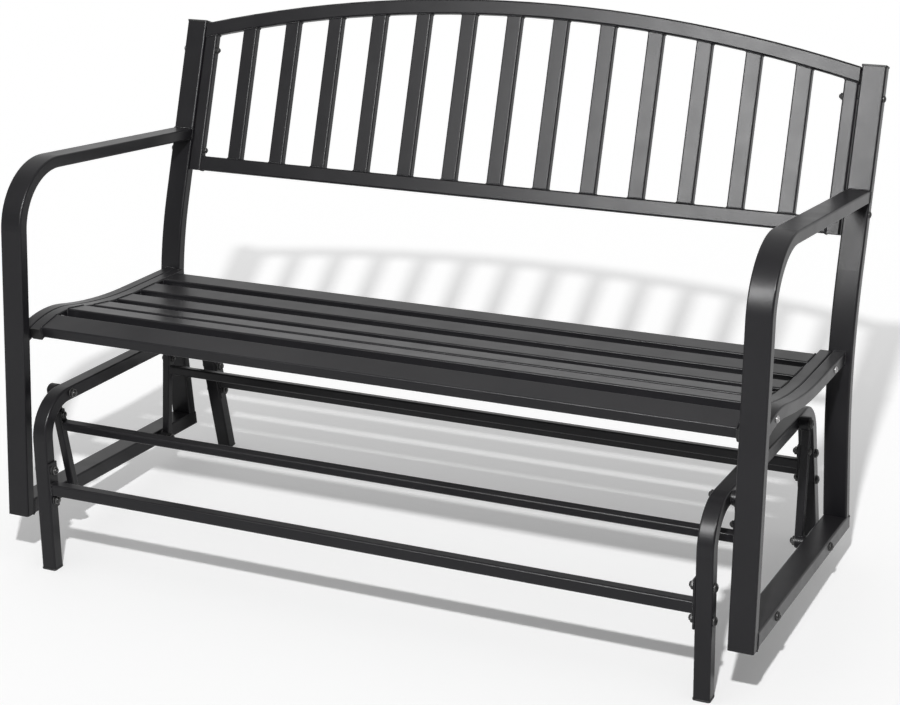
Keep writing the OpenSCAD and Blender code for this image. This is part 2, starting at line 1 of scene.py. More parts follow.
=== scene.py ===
# %% [markdown]
# # A glider bench in black powder-coated tube
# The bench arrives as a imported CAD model: four rigid bodies and fifty-nine
# pieces, each in its place. This notebook dresses it. It gives every piece a
# finish, swaps plain bolts and caps for detailed ones, lays weld beads where
# tubes meet, and then sets the floor, the lamps and the camera.

# %% Load the frame
import json
import math

import bmesh
import bpy
from mathutils import Matrix, Vector
from mathutils.bvhtree import BVHTree

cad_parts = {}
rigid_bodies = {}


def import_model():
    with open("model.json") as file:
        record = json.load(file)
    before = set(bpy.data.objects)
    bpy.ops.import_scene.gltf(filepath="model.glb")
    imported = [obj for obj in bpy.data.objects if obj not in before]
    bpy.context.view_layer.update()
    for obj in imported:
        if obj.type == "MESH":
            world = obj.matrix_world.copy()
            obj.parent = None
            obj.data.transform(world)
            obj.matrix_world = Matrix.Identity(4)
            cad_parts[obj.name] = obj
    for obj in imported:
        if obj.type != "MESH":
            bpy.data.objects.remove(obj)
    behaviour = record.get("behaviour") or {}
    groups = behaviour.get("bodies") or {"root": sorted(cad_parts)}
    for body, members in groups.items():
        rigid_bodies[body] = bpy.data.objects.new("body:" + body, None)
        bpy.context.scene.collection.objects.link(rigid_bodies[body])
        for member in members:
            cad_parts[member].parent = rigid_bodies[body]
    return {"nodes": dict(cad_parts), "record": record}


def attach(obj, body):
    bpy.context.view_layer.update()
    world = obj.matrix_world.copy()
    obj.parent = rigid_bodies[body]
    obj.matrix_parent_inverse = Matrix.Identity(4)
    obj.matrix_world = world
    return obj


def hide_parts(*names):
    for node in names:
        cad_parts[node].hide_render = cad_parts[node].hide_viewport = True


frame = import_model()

MM = 0.001
nodes = frame["nodes"]
bodies = frame["record"]["behaviour"]["bodies"]
body_of = {name: body for body, members in bodies.items() for name in members}
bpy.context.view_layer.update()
print("pieces by body:", {body: len(members) for body, members in bodies.items()})

# %% [markdown]
# ## Camera
# The camera comes first, so that each later step can be looked at. It stands
# to the sitter's left at standing height, with a long lens and a small shift,
# because the picture was cropped off centre. Its turning is written as three
# unit vectors: what points right, up and ahead in the picture.

# %% Camera
PICTURE_WIDTH = 900
FOCAL_PIXELS = 2065.436
CENTRE_PIXELS = (434.422, 300.932)
HALF_PICTURE = (450.0, 352.5)
SENSOR = 36.0
RIGHT = Vector((0.903155, 0.428401, -0.027984))
UP = Vector((-0.113254, 0.300623, 0.946995))
AHEAD = Vector((-0.414106, 0.852114, -0.320028))
CAMERA_PLACE = Vector((1.337202, -2.768735, 1.454005))

lens = bpy.data.cameras.new("camera")
camera = bpy.data.objects.new("camera", lens)
bpy.context.scene.collection.objects.link(camera)
turn = Matrix((RIGHT, UP, -AHEAD)).transposed().to_4x4()
camera.matrix_world = Matrix.Translation(CAMERA_PLACE) @ turn
lens.sensor_width = SENSOR
lens.lens = FOCAL_PIXELS * SENSOR / PICTURE_WIDTH
lens.shift_x = (HALF_PICTURE[0] - CENTRE_PIXELS[0]) / PICTURE_WIDTH
lens.shift_y = (CENTRE_PIXELS[1] - HALF_PICTURE[1]) / PICTURE_WIDTH
bpy.context.scene.camera = camera
print("lens %.1f mm, shift %.4f %.4f" % (lens.lens, lens.shift_x, lens.shift_y))

# %% [markdown]
# ## Shader sums as plain Python
# A finish is easier to read as a sum than as a drawing of wires. `Term` wraps
# one socket, and each operator on it adds a Math node. `Finish` holds one
# material, and its `node` method adds any other node: settings first, then
# the values or links of its sockets.

# %% Terms and finishes
class Term:
    """One output socket, used like a number."""

    def __init__(self, tree, socket):
        self.tree, self.socket = tree, socket

    def feed(self, target):
        self.tree.links.new(self.socket, target)

    def math(self, operation, first, second):
        node = self.tree.nodes.new("ShaderNodeMath")
        node.operation = operation
        for target, value in zip(node.inputs, (first, second)):
            plug(value, target)
        return Term(self.tree, node.outputs[0])

    def __add__(self, other):
        return self.math("ADD", self, other)

    def __radd__(self, other):
        return self.math("ADD", other, self)

    def __sub__(self, other):
        return self.math("SUBTRACT", self, other)

    def __rsub__(self, other):
        return self.math("SUBTRACT", other, self)

    def __mul__(self, other):
        return self.math("MULTIPLY", self, other)

    def __rmul__(self, other):
        return self.math("MULTIPLY", other, self)

    def __pow__(self, other):
        return self.math("POWER", self, other)


def plug(value, target):
    """Links a Term to a socket, or writes a plain value there."""
    if isinstance(value, Term):
        value.feed(target)
    else:
        target.default_value = value


class Finish:
    """A material whose shader's own sockets get the constants at once."""

    def __init__(self, name, constants):
        self.material = bpy.data.materials.new(name)
        self.material.use_nodes = True
        self.tree = self.material.node_tree
        self.shader = self.tree.nodes["Principled BSDF"]
        self.set(constants)

    def set(self, values):
        for name, value in values.items():
            plug(value, self.shader.inputs[name])

    def node(self, kind, settings=None, values=None, out=0):
        node = self.tree.nodes.new(kind)
        for name, value in (settings or {}).items():
            if name == "stops":
                for stop, (place, tone) in zip(node.color_ramp.elements, value):
                    stop.position, stop.color = place, (tone, tone, tone, 1.0)
            else:
                setattr(node, name, value)
        for name, value in (values or {}).items():
            plug(value, node.inputs[name])
        return Term(self.tree, node.outputs[out])

    def noise(self, place, scale, detail=2.0, stretch=None):
        if stretch:
            place = self.node("ShaderNodeMapping", None,
                              {"Vector": place, "Scale": stretch})
        return self.node("ShaderNodeTexNoise", None,
                         {"Vector": place, "Scale": scale, "Detail": detail})

    def ramp(self, term, low, high):
        return self.node("ShaderNodeValToRGB", {"stops": ((low, 0.0), (high, 1.0))},
                         {"Fac": term})

    def blend(self, share, first, second):
        return self.node("ShaderNodeMix", {"data_type": "RGBA"},
                         {"Factor": share, 6: first, 7: second}, out=2)

    def bump(self, height, strength, depth, normal=None):
        values = {"Height": height, "Strength": strength, "Distance": depth}
        if normal:
            values["Normal"] = normal
        return self.node("ShaderNodeBump", None, values)


print("shader helpers ready")

# %% [markdown]
# ## Powder coat
# Powder coat is paint that was melted onto the tube. It is a cool black, half
# glossy, and its skin is never quite flat: it has an orange-peel ripple about
# a millimetre across, finer grain on top of that, and slow waves that bend
# the highlights along a tube. A little dust lies on what faces up. All of it
# is noise on Object coordinates, so it stays put on every piece.

# %% Powder coat
def grey(tone, warm=1.0, cool=1.0):
    """A grey of that tone, with its red and blue turned up or down."""
    return (tone * warm, tone, tone * cool, 1.0)


def powder_coat():
    coat = Finish("powder_coat", {"IOR": 1.29, "Coat Roughness": 0.18,
                                  "Coat IOR": 1.45})
    place = coat.node("ShaderNodeTexCoord", out="Object")
    peel = coat.noise(place, 620.0, 1.0)
    grain = coat.noise(place, 2300.0, 2.0)
    waves = coat.noise(place, 26.0, 1.0)
    cloud = coat.noise(place, 7.0, 3.0)
    normal = coat.node("ShaderNodeNewGeometry", out="Normal")
    upward = coat.node("ShaderNodeSeparateXYZ", None, {"Vector": normal}, out="Z")
    lying = coat.ramp(upward, 0.35, 1.0)
    specks = coat.ramp(coat.noise(place, 1500.0, 3.0), 0.56, 0.74)
    dust = lying * (0.25 + cloud * 0.75) * (0.35 + specks * 0.65)
    black = coat.blend(cloud, grey(0.0062, 1.02, 1.20), grey(0.0105, 1.04, 1.14))
    colour = coat.blend(dust * 0.14, black, grey(0.20, 1.04))
    skin = peel * 0.62 + grain * 0.38
    coat.set({
        "Base Color": colour,
        "Roughness": 0.335 + (waves - 0.5) * 0.10 + (grain - 0.5) * 0.06 + dust * 0.12,
        "Coat Weight": 0.07 + (cloud - 0.5) * 0.08,
        "Normal": coat.bump(skin, 0.22, 0.00012, coat.bump(waves, 0.10, 0.0006)),
    })
    return coat.material


PAINT = powder_coat()
print("finish:", PAINT.name)

# %% [markdown]
# ## Moulded plastic
# Foot caps, post caps, end plugs and pivot bushes are black polyethylene.
# Its surface copies the sparked steel of the mould: fine, even pits that
# scatter the light, with paler rubbed spots where it slides on a floor.

# %% Moulded plastic
def moulded_plastic():
    plastic = Finish("moulded_plastic", {"IOR": 1.47})
    place = plastic.node("ShaderNodeTexCoord", out="Object")
    pits = plastic.node("ShaderNodeTexVoronoi", {"feature": "SMOOTH_F1"},
                        {"Vector": place, "Scale": 1250.0})
    flow = plastic.noise(place, 55.0, 2.0, (1.0, 1.0, 0.25))
    rubbed = plastic.ramp(plastic.noise(place, 210.0, 3.0), 0.55, 0.78)
    plastic.set({
        "Base Color": plastic.blend(rubbed * 0.35, grey(0.0085), grey(0.032)),
        "Roughness": 0.50 + (flow - 0.5) * 0.16 - rubbed * 0.08,
        "Normal": plastic.bump(pits, 0.35, 0.00010),
    })
    return plastic.material


PLASTIC = moulded_plastic()
print("finish:", PLASTIC.name)

# %% [markdown]
# ## Blackened steel
# Bolts and nuts are dipped in a thin black oxide. A spanner wears it off the
# crests first, so a `worn` attribute on the mesh marks the crests, noise
# breaks it up, and there the metal shows brighter and smoother.

# %% Blackened steel
def blackened_steel(name, base, crest, share):
    steel = Finish(name, {"IOR": 1.5})
    place = steel.node("ShaderNodeTexCoord", out="Object")
    worn = steel.node("ShaderNodeAttribute", {"attribute_name": "worn"}, out="Fac")
    flecks = steel.noise(place, 900.0, 3.0)
    grain = steel.noise(place, 3200.0, 1.0)
    rubbed = steel.ramp(worn * 0.75 + flecks * 0.5, 0.62, 0.92) * share
    steel.set({
        "Base Color": steel.blend(rubbed, base, crest),
        "Metallic": 0.35 + rubbed * 0.6,
        "Roughness": 0.38 + (flecks - 0.5) * 0.14 - rubbed * 0.10,
        "Normal": steel.bump(grain * 0.6 + flecks * 0.4, 0.20, 0.00005),
    })
    return steel.material


STEEL = blackened_steel("blackened_steel", grey(0.016), grey(0.22, 1.02), 0.55)
BRIGHT_STEEL = blackened_steel("zinc_plated_steel", grey(0.30, 1.02), grey(0.62), 0.8)
print("finishes:", STEEL.name, BRIGHT_STEEL.name)

# %% [markdown]
# ## Finishes onto the frame
# The frame's own pieces keep their shape, so each only gets its finish, by
# the material slot that the record gives it.

# %% Finishes onto the frame
FINISH_OF = {"frame_paint": PAINT, "plastic": PLASTIC, "fastener": STEEL}
slot_of = {part["node"]: part["material_slot"] for part in frame["record"]["subparts"]}

for name, piece in nodes.items():
    piece.data.materials.clear()
    piece.data.materials.append(FINISH_OF[slot_of[name]])
print("dressed:", len(nodes), "pieces of the frame")

# %% [markdown]
# ## Reading the frame
# Bolts, caps and welds must sit exactly where the frame has them, so their
# places are measured on the frame's meshes and none is typed in. A mesh from
# the frame is loose triangles, so a merged copy is read, never the original.

# %% Reading the frame
SAME_PLACE = 0.01 * MM
NEAR_WIDEST = 0.9


def merged(name):
    """A merged copy of a frame piece, as a bmesh."""
    solid = bmesh.new()
    solid.from_mesh(nodes[name].data)
    bmesh.ops.remove_doubles(solid, verts=solid.verts, dist=SAME_PLACE)
    bmesh.ops.recalc_face_normals(solid, faces=solid.faces)
    return solid


def islands(solid):
    """The separate solids of a mesh, each as a list of corner places."""
    left, found = set(solid.verts), []
    while left:
        stack, members = [left.pop()], []
        while stack:
            corner = stack.pop()
            members.append(corner.co.copy())
            for edge in corner.link_edges:
                other = edge.other_vert(corner)
                if other in left:
                    left.remove(other)
                    stack.append(other)
        found.append(members)
    return found


def shafts(name):
    """Axis, reach and radii of every round piece along X in a frame piece."""
    rows = []
    solid = merged(name)
    for points in islands(solid):
        low = Vector([min(p[i] for p in points) for i in range(3)])
        high = Vector([max(p[i] for p in points) for i in range(3)])
        y, z = (low.y + high.y) / 2, (low.z + high.z) / 2
        radius = [(p.x, math.hypot(p.y - y, p.z - z)) for p in points]
        thick = max(r for _, r in radius)
        thin = min(r for _, r in radius)
        flare = [x for x, r in radius if r > NEAR_WIDEST * thick]
        rows.append({"y": y, "z": z, "x": (low.x, high.x), "thick": thick,
                     "thin": thin, "flare": (min(flare), max(flare))})
    solid.free()
    return rows


for name in ("stretcher_bolts", "stretcher_nuts"):
    print(name, len(shafts(name)), "round pieces")

# %% [markdown]
# ## Turned hardware
# A bolt or nut is a shape turned on a lathe, apart from its six flats. So one
# helper spins a profile of (reach, radius, flats) rows, and where a row has
# flats its radius follows a hexagon. Each row also says how worn it is.

# %% Turned hardware
SPIN_STEPS = 24
HALF_FLAT = math.pi / 6


def hexagon(radius, angle):
    """Reach of a hexagon with that inner radius, at an angle."""
    return radius / math.cos((angle + HALF_FLAT) % (2 * HALF_FLAT) - HALF_FLAT)


def turned(name, profile):
    """Spins rows of (reach along X, radius, flats, wear) into a closed mesh."""
    solid = bmesh.new()
    worn = solid.verts.layers.float.new("worn")
    rings = []
    for reach, radius, flats, wear in profile:
        ring = []
        for step in range(SPIN_STEPS if radius else 1):
            angle = 2 * math.pi * step / SPIN_STEPS
            span = hexagon(radius, angle) if flats else radius
            corner = solid.verts.new((reach, span * math.cos(angle), span * math.sin(angle)))
            corner[worn] = wear
            ring.append(corner)
        rings.append(ring)
    for first, second in zip(rings, rings[1:]):
        for step in range(SPIN_STEPS):
            after = (step + 1) % SPIN_STEPS
            face = [first[step % len(first)], second[step % len(second)],
                    second[after % len(second)], first[after % len(first)]]
            face = [v for i, v in enumerate(face) if v not in face[:i]]
            if len(face) > 2:
                solid.faces.new(face)
    bmesh.ops.recalc_face_normals(solid, faces=solid.faces)
    mesh = bpy.data.meshes.new(name)
    solid.to_mesh(mesh)
    solid.free()
    return mesh


def button_bolt(name, head, head_h, shank, length):
    """A low domed head with a hexagon socket, on its shank."""
    socket = head * 0.36
    return turned(name, [
        (-length, 0.0, False, 0.2), (-length, shank * 0.82, False, 0.4),
        (-length + shank * 0.2, shank, False, 0.2), (0.0, shank, False, 0.0),
        (0.0, head * 0.97, False, 0.5), (head_h * 0.14, head, False, 0.9),
        (head_h * 0.36, head * 0.985, False, 0.6), (head_h * 0.62, head * 0.88, False, 0.3),
        (head_h * 0.84, head * 0.70, False, 0.3), (head_h * 0.97, head * 0.50, False, 0.6),
        (head_h, head * 0.44, False, 0.9), (head_h * 0.94, socket, True, 0.8),
        (head_h * 0.40, socket * 0.96, True, 0.1), (head_h * 0.34, 0.0, False, 0.0)])


def cap_nut(name, thick, nut_h, bore):
    """A flanged nut with a dome that hides the bolt's end."""
    flat = thick * 0.84
    return turned(name, [
        (0.0, bore, False, 0.0), (0.0, thick, False, 0.6), (nut_h * 0.12, thick, False, 0.9),
        (nut_h * 0.20, thick * 0.95, False, 0.4), (nut_h * 0.22, flat * 0.97, True, 0.2),
        (nut_h * 0.30, flat, True, 0.4), (nut_h * 0.72, flat, True, 0.6),
        (nut_h * 0.84, flat * 0.90, True, 1.0), (nut_h * 0.86, flat * 0.80, False, 0.3),
        (nut_h * 1.08, flat * 0.74, False, 0.3), (nut_h * 1.28, flat * 0.58, False, 0.5),
        (nut_h * 1.42, flat * 0.34, False, 0.7), (nut_h * 1.46, 0.0, False, 0.8)])


sample_bolt = button_bolt("sample", 7 * MM, 4 * MM, 4 * MM, 30 * MM)
print("turned sample:", len(sample_bolt.polygons), "faces")

# %% [markdown]
# ## A Geometry Nodes tree that sets hardware
# The same bolt returns at both ends of the bench. One tree takes a mesh whose
# corners are the places, and sets a copy of one part on each. A `side` number
# on each place turns it to face left or right, and a fixed seed gives each
# its own spin, as no two bolts stop at the same angle.

# %% Tree that sets hardware
def new_tree(name, inputs):
    """A geometry tree with Geometry in and out, and named inputs."""
    tree = bpy.data.node_groups.new(name, "GeometryNodeTree")
    tree.interface.new_socket("Geometry", in_out="INPUT", socket_type="NodeSocketGeometry")
    for label, kind, value in inputs:
        socket = tree.interface.new_socket(label, in_out="INPUT", socket_type=kind)
        if value is not None:
            socket.default_value = value
    tree.interface.new_socket("Geometry", in_out="OUTPUT", socket_type="NodeSocketGeometry")
    return tree, tree.nodes.new("NodeGroupInput"), tree.nodes.new("NodeGroupOutput")


def add(tree, kind, settings=None, values=None):
    """A node with its settings, then the values or links of its sockets."""
    node = tree.nodes.new(kind)
    for name, value in (settings or {}).items():
        setattr(node, name, value)
    for name, value in (values or {}).items():
        if isinstance(value, bpy.types.NodeSocket):
            tree.links.new(value, node.inputs[name])
        else:
            node.inputs[name].default_value = value
    return node


def hardware_tree():
    tree, given, result = new_tree("set_hardware", [
        ("Part", "NodeSocketObject", None), ("Spin Seed", "NodeSocketInt", 0),
        ("Finish", "NodeSocketMaterial", None)])
    part = add(tree, "GeometryNodeObjectInfo", {"transform_space": "ORIGINAL"},
               {"Object": given.outputs["Part"], "As Instance": True})
    side = add(tree, "GeometryNodeInputNamedAttribute", {"data_type": "FLOAT"}, {"Name": "side"})
    half_turn = add(tree, "ShaderNodeMath", {"operation": "MULTIPLY_ADD"},
                    {0: side.outputs["Attribute"], 1: -math.pi / 2, 2: math.pi / 2})
    spin = add(tree, "FunctionNodeRandomValue", {"data_type": "FLOAT"},
               {"Min": 0.0, "Max": 2 * math.pi, "Seed": given.outputs["Spin Seed"]})
    angles = add(tree, "ShaderNodeCombineXYZ", None,
                 {"X": spin.outputs["Value"], "Z": half_turn.outputs[0]})
    turning = add(tree, "FunctionNodeEulerToRotation", None, {0: angles.outputs[0]})
    placed = add(tree, "GeometryNodeInstanceOnPoints", None,
                 {"Points": given.outputs["Geometry"], "Instance": part.outputs["Geometry"],
                  "Rotation": turning.outputs[0]})
    real = add(tree, "GeometryNodeRealizeInstances", None,
               {"Geometry": placed.outputs["Instances"]})
    dressed = add(tree, "GeometryNodeSetMaterial", None,
                  {"Geometry": real.outputs["Geometry"], "Material": given.outputs["Finish"]})
    tree.links.new(dressed.outputs["Geometry"], result.inputs["Geometry"])
    return tree


def grown(name, mesh, tree, inputs):
    """Runs a tree on a mesh and returns the result as a plain object."""
    seed = bpy.data.objects.new(name + "_seed", mesh)
    bpy.context.scene.collection.objects.link(seed)
    modifier = seed.modifiers.new("tree", "NODES")
    modifier.node_group = tree
    for item in tree.interface.items_tree:
        if item.in_out == "INPUT" and item.name in inputs:
            modifier[item.identifier] = inputs[item.name]
    bpy.context.view_layer.update()
    depsgraph = bpy.context.evaluated_depsgraph_get()
    plain = bpy.data.meshes.new_from_object(seed.evaluated_get(depsgraph))
    plain.name = name
    bpy.data.objects.remove(seed)
    piece = bpy.data.objects.new(name, plain)
    bpy.context.scene.collection.objects.link(piece)
    return piece


HARDWARE = hardware_tree()
print("tree inputs:", [i.name for i in HARDWARE.interface.items_tree if i.in_out == "INPUT"])

# %% [markdown]
# ## Bolts and nuts
# Every set below stands for frame pieces of the same name. A long island is a
# bolt and a short one is a nut. The head's side is where the island is wide,
# and a nut faces away from the head, towards the middle of the bench.

# %% Bolts and nuts
SHORT = 1.6
FLAT_UNDER = math.radians(38)
FIRST_SEED = 3


def place_mesh(name, places):
    """A mesh of bare corners, each with the side that it faces."""
    mesh = bpy.data.meshes.new(name)
    mesh.from_pydata([place for place, _ in places], [], [])
    side = mesh.attributes.new("side", "FLOAT", "POINT")
    side.data.foreach_set("value", [facing for _, facing in places])
    return mesh


def sort_round(name):
    """Splits a frame piece's round solids into bolts and nuts."""
    bolts, nuts = [], []
    for row in shafts(name):
        low, high = row["x"]
        middle = (low + high) / 2
        if high - low > SHORT * row["thick"]:
            outward = 1.0 if sum(row["flare"]) / 2 > middle else -1.0
            seat = row["flare"][0] if outward > 0 else row["flare"][1]
            bolts.append((row, outward, seat))
        else:
            outward = -1.0 if middle > 0 else 1.0
            nuts.append((row, outward, low if outward > 0 else high))
    return bolts, nuts


def set_hardware(name, seed, finish=None):
    """Builds the detailed bolts and nuts of one frame piece."""
    made = []
    bolts, nuts = sort_round(name)
    for kind, rows in (("bolt", bolts), ("nut", nuts)):
        if not rows:
            continue
        row = rows[0][0]
        length = row["x"][1] - row["x"][0]
        if kind == "bolt":
            head_h = row["flare"][1] - row["flare"][0]
            part = button_bolt(name + "_part", row["thick"], head_h, row["thin"],
                               length - head_h)
        else:
            part = cap_nut(name + "_part", row["thick"], length, row["thin"])
        for polygon in part.polygons:
            polygon.use_smooth = True
        part.set_sharp_from_angle(angle=FLAT_UNDER)
        holder = bpy.data.objects.new(name + "_part", part)
        places = place_mesh(name + "_places",
                            [((seat, row["y"], row["z"]), outward)
                             for row, outward, seat in rows])
        piece = grown("detailed_%s_%s" % (name, kind), places, HARDWARE,
                      {"Part": holder, "Spin Seed": seed, "Finish": finish or STEEL})
        bpy.data.objects.remove(holder)
        made.append(piece)
    for piece in made:
        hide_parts(name)
        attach(piece, body_of[name])
    return made


HARDWARE_NODES = [name for name in nodes if slot_of[name] == "fastener"]
for order, name in enumerate(sorted(HARDWARE_NODES)):
    made = set_hardware(name, order + FIRST_SEED, BRIGHT_STEEL if name == "seat_bolts" else None)
    print(name, [(piece.name, len(piece.data.polygons)) for piece in made])

# %% [markdown]
# ## Softened caps
# The frame's caps have crisp edges, but a moulded cap never does. A merged
# copy has its flat triangles joined and its sharp edges bevelled, and stands
# in for the frame's own. A flat foot still ends exactly on the floor.

# %% Softened caps
CAP_ROUNDING = {"post_caps": 0.7 * MM, "foot_caps": 0.6 * MM}
COPLANAR = math.radians(1.0)
CORNER = math.radians(50)
CREASE = math.radians(35)


def softened(name, width, finish):
    """A copy of a frame piece with its sharp edges rounded over."""
    solid = merged(name)
    bmesh.ops.dissolve_limit(solid, angle_limit=COPLANAR, verts=solid.verts,
                             edges=solid.edges)
    sharp = [edge for edge in solid.edges
             if len(edge.link_faces) == 2 and edge.calc_face_angle() > CORNER]
    bmesh.ops.bevel(solid, geom=sharp, offset=width, offset_type="OFFSET", segments=3,
                    profile=0.5, affect="EDGES", clamp_overlap=True)
    bmesh.ops.triangulate(solid, faces=solid.faces)
    mesh = bpy.data.meshes.new("softened_" + name)
    solid.to_mesh(mesh)
    solid.free()
    for polygon in mesh.polygons:
        polygon.use_smooth = True
    mesh.set_sharp_from_angle(angle=CREASE)
    mesh.materials.append(finish)
    piece = bpy.data.objects.new("softened_" + name, mesh)
    bpy.context.scene.collection.objects.link(piece)
    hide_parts(name)
    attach(piece, body_of[name])
    return piece


for name, width in CAP_ROUNDING.items():
    print(name, len(softened(name, width, PLASTIC).data.polygons), "faces")

# %% [markdown]
# ## Where the welds run
# Tubes are welded where one ends on another. Between two frame pieces, that
# is the outer rim of the first, where it touches the second. Within one
# piece it is any inward corner, apart from the long ones inside a tube. Both
# come from the merged meshes, as loops of short edges, so a weld follows the
# real joint whatever its shape. A rim counts as touching within `TOUCH`, and
# an edge longer than `LONGEST_JOINT` belongs to a tube, not to a joint.

# %% Where the welds run
SHARP = math.radians(38)
TOUCH = 3.4 * MM
LONGEST_JOINT = 22 * MM


def loops_of(solid, keep):
    """Groups of joined edges that pass a test and lie on the outside."""
    left = {edge for edge in solid.edges if len(edge.link_faces) == 2 and keep(edge)}
    while left:
        stack, group = [left.pop()], []
        while stack:
            edge = stack.pop()
            group.append(edge)
            for corner in edge.verts:
                for other in corner.link_edges:
                    if other in left:
                        left.remove(other)
                        stack.append(other)
        middles = [(edge.verts[0].co + edge.verts[1].co) / 2 for edge in group]
        centre = sum(middles, Vector()) / len(middles)
        outward = sum((edge.link_faces[0].normal + edge.link_faces[1].normal).dot(m - centre)
                      for edge, m in zip(group, middles))
        if outward > 0:
            yield [tuple(corner.co.copy() for corner in edge.verts) for edge in group]


def rim(name, *neighbours):
    """The outer rim of a piece where it ends on its neighbours."""
    solid, found = merged(name), []
    for neighbour in neighbours:
        other = merged(neighbour)
        skin = BVHTree.FromBMesh(other)

        def touches(edge):
            middle = (edge.verts[0].co + edge.verts[1].co) / 2
            return (edge.calc_face_angle() > SHARP
                    and skin.find_nearest(middle, TOUCH)[0] is not None)

        for loop in loops_of(solid, touches):
            found.extend(loop)
        other.free()
    solid.free()
    return found


def inward(name):
    """The outer inward corners of one piece made of welded parts."""
    solid, found = merged(name), []

    def is_joint(edge):
        return (edge.calc_face_angle_signed() < -SHARP
                and edge.calc_length() < LONGEST_JOINT)

    for loop in loops_of(solid, is_joint):
        found.extend(loop)
    solid.free()
    return found


sample = rim("seat_slat_1", "seat_end_rail_left", "seat_end_rail_right")
print("first slat's welds: %d edges, %.0f mm" % (
    len(sample), sum((a - b).length for a, b in sample) / MM))

# %% [markdown]
# ## Weld beads
# A bead laid by hand is a row of small overlapping pools. The tree turns the
# edges into curves, steps along them at an even pitch and sets a squashed
# ball at each step, a little larger or smaller each time. Powder coat covers
# it all, so the bead has the frame's own finish.

# %% Weld beads
THICK_BEAD, BEAD, THIN_BEAD = 1.6 * MM, 1.5 * MM, 1.2 * MM
POOL_PITCH = 1.05
KEY_STEP = 0.02 * MM


def bead_tree():
    tree, given, result = new_tree("weld_bead", [
        ("Bead Radius", "NodeSocketFloat", 0.002), ("Pitch", "NodeSocketFloat", 0.002),
        ("Pool Seed", "NodeSocketInt", 0), ("Finish", "NodeSocketMaterial", None)])
    path = add(tree, "GeometryNodeMeshToCurve", None, {"Mesh": given.outputs["Geometry"]})
    steps = add(tree, "GeometryNodeResampleCurve", {"mode": "LENGTH"},
                {"Curve": path.outputs["Curve"], "Length": given.outputs["Pitch"]})
    pool = add(tree, "GeometryNodeMeshIcoSphere", None,
               {"Radius": given.outputs["Bead Radius"], "Subdivisions": 2})
    size = add(tree, "FunctionNodeRandomValue", {"data_type": "FLOAT"},
               {"Min": 0.86, "Max": 1.10, "Seed": given.outputs["Pool Seed"]})
    spin = add(tree, "FunctionNodeRandomValue", {"data_type": "FLOAT_VECTOR"},
               {"Min": (0.0, 0.0, 0.0), "Max": (6.28, 6.28, 6.28),
                "Seed": given.outputs["Pool Seed"]})
    turning = add(tree, "FunctionNodeEulerToRotation", None, {0: spin.outputs["Value"]})
    placed = add(tree, "GeometryNodeInstanceOnPoints", None,
                 {"Points": steps.outputs["Curve"], "Instance": pool.outputs["Mesh"],
                  "Rotation": turning.outputs[0]})
    for output in size.outputs:
        if output.enabled and output.name == "Value":
            tree.links.new(output, placed.inputs["Scale"])
    real = add(tree, "GeometryNodeRealizeInstances", None,
               {"Geometry": placed.outputs["Instances"]})
    smooth = add(tree, "GeometryNodeSetShadeSmooth", None,
                 {"Geometry": real.outputs["Geometry"]})
    dressed = add(tree, "GeometryNodeSetMaterial", None,
                  {"Geometry": smooth.outputs["Geometry"],
                   "Material": given.outputs["Finish"]})
    tree.links.new(dressed.outputs["Geometry"], result.inputs["Geometry"])
    return tree


def path_mesh(name, edges):
    """A mesh of joined edges, corners at the same place made one."""
    corners, index, lines = [], {}, []
    for edge in edges:
        line = []
        for corner in edge:
            key = tuple(round(c / KEY_STEP) for c in corner)
            if key not in index:
                index[key] = len(corners)
                corners.append(corner)
            line.append(index[key])
        if line[0] != line[1]:
            lines.append(line)
    mesh = bpy.data.meshes.new(name)
    mesh.from_pydata(corners, lines, [])
    return mesh


def weld(name, body, edges, radius, seed):
    """Lays one body's beads along edges, as one piece."""
    piece = grown(name, path_mesh(name + "_path", edges), BEADS,
                  {"Bead Radius": radius, "Pitch": radius * POOL_PITCH, "Pool Seed": seed,
                   "Finish": PAINT})
    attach(piece, body)
    print(name, "%.0f mm of bead, %d faces" % (
        sum((a - b).length for a, b in edges) / MM, len(piece.data.polygons)))
    return piece


BEADS = bead_tree()
SIDES = ("left", "right")
seat_slats = [name for name in nodes if name.startswith("seat_slat_")]
back_slats = [name for name in nodes if name.startswith("back_slat_")]

weld("stretcher_welds", "base", inward("front_stretcher") + inward("rear_stretcher"),
     THICK_BEAD, 11)
for end in ("front", "rear"):
    arms = [inward("%s_swing_arm_%s" % (end, side)) for side in SIDES]
    weld(end + "_swing_welds", end + "_swing", sum(arms, inward(end + "_link_bar")),
         THIN_BEAD, 12)
weld("seat_welds", "seat_unit",
     sum((rim(name, "seat_end_rail_left", "seat_end_rail_right") for name in seat_slats), []),
     BEAD, 13)
weld("back_welds", "seat_unit",
     sum((rim(name, "back_top_rail", "back_bottom_rail") for name in back_slats), []),
     BEAD, 14)
corners = rim("back_bottom_rail", "back_stile_left", "back_stile_right")
for side in SIDES:
    corners += rim("back_stile_" + side, "back_top_rail")
    corners += rim("armrest_" + side, "rear_post_" + side, "bottom_rail_" + side)
    corners += rim("bottom_rail_" + side, "armrest_" + side, "rear_post_" + side)
    corners += rim("seat_rail_" + side, "armrest_" + side, "rear_post_" + side)
weld("corner_welds", "seat_unit", corners, THICK_BEAD, 15)

# %% [markdown]
# ## Lamps
# One small lamp high above the camera throws the soft-edged shadow behind the
# bench, and the plain white world fills the rest. Black paint shows mostly
# what it mirrors, so a tall panel at the front left gives the tubes of the
# back their broad grey shine, and a smaller one beside it the spot on each
# armrest's bend. Reflections alone see them: they add no light to the floor
# and no second shadow. Behind the bench the world is also bright to
# reflections, as a white backdrop is, so the slats' tops shine from in front.

